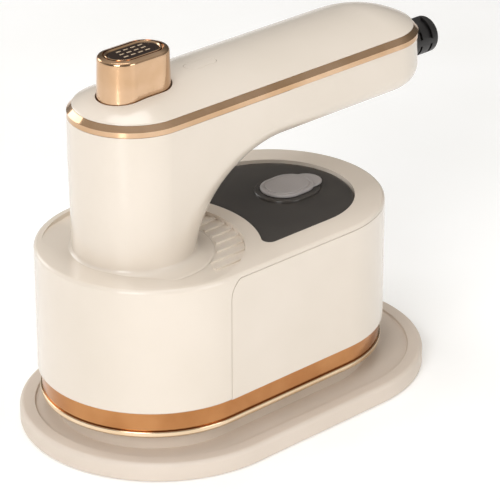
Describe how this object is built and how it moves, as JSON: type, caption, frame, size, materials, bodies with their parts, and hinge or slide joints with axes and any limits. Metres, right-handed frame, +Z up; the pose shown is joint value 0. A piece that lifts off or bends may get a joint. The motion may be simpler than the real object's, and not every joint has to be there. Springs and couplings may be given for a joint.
{
  "type": "steam generator iron",
  "caption": "Compact steam iron with a swivelling handle on a round column, a smoky water tank in its deck and a flat oval rest tray.",
  "frame": {"origin": "on the rest tray's underside, below the middle of the iron's body", "axes": "+X from the swivel column to the cord end, +Y across, +Z up"},
  "size_m": [0.1675, 0.0918, 0.1285],
  "materials": {
    "cream_gloss": "gloss moulded ABS, cream",
    "tray_plastic": "matte heat-resistant nylon, cream",
    "silicone": "heat-resistant silicone",
    "grey_silicone": "soft grey silicone, satin",
    "rubber_black": "black rubber, matte",
    "black_grommet": "black moulded PVC, satin",
    "soleplate_metal": "polished aluminium, warm coating",
    "cast_alloy": "die cast, bare",
    "element_steel": "drawn tube, oxidised",
    "pressed_steel": "pressed sheet",
    "screw_steel": "zinc plated",
    "copper_finish": "copper-coloured satin metallic",
    "rose_gold": "champagne gold, polished",
    "phenolic": "black phenolic moulding",
    "bearing_plastic": "natural acetal",
    "tank_clear": "clear copolyester",
    "smoky_clear": "smoky transparent copolyester, gloss",
    "lens_brown": "dark brown gloss lens",
    "board_green": "solder-masked circuit board"
  },
  "bodies": {
    "tray": {"rest_tray": "tray_plastic", "seat_pad": "silicone", "tray_feet": "rubber_black"},
    "iron": {"soleplate": "soleplate_metal", "heater_casting": "cast_alloy", "heating_element": "element_steel", "chamber_gasket": "silicone", "chamber_cover": "pressed_steel", "chamber_screws": "screw_steel", "copper_skirt": "copper_finish", "shield_spacers": "pressed_steel", "heat_shield": "phenolic", "shield_screws": "screw_steel", "shell_screws": "screw_steel", "thermostat": "phenolic", "thermal_fuse": "phenolic", "front_shell": "cream_gloss", "rear_shell": "cream_gloss", "water_tank": "tank_clear", "tank_seal": "rubber_black", "tank_window": "smoky_clear", "filler_collar": "smoky_clear", "pump_bracket": "pressed_steel", "pump": "phenolic", "suction_hose": "silicone", "steam_hose": "silicone", "swivel_bush": "bearing_plastic"},
    "plug": {"filler_plug": "grey_silicone"},
    "handle": {"handle_shell": "cream_gloss", "handle_band": "rose_gold", "handle_cap": "cream_gloss", "swivel_shaft": "screw_steel", "swivel_washer": "screw_steel", "swivel_circlip": "screw_steel", "handle_screws": "screw_steel", "switch_carrier": "bearing_plastic", "steam_switch": "phenolic", "control_board": "board_green", "key_switch": "phenolic", "wire_clamp": "bearing_plastic", "clamp_screws": "screw_steel", "strain_relief": "black_grommet", "button_spring": "screw_steel"},
    "button": {"steam_button": "rose_gold", "button_lens": "lens_brown"},
    "key": {"power_key": "cream_gloss"}
  },
  "joints": [
    {"name": "iron_lift", "type": "slide", "parent": "tray", "child": "iron", "axis": [0, 0, 1], "range_m": [0, 0.08]},
    {"name": "plug_lift", "type": "slide", "parent": "iron", "child": "plug", "axis": [0, 0, 1], "range_m": [0, 0.02]},
    {"name": "handle_swivel", "type": "hinge", "parent": "iron", "child": "handle", "pos_m": [-0.03345, 0, 0.0612], "axis": [0, 0, 1], "range_deg": [0, 180]},
    {"name": "steam_press", "type": "slide", "parent": "handle", "child": "button", "axis": [0, 0, -1], "range_m": [0, 0.003], "stiffness_N_per_m": 600, "springref_m": -0.002, "deforming": ["button_spring"]},
    {"name": "power_press", "type": "slide", "parent": "handle", "child": "key", "axis": [0, 0, -1], "range_m": [0, 0.0006], "stiffness_N_per_m": 1500, "springref_m": -0.001}
  ]
}
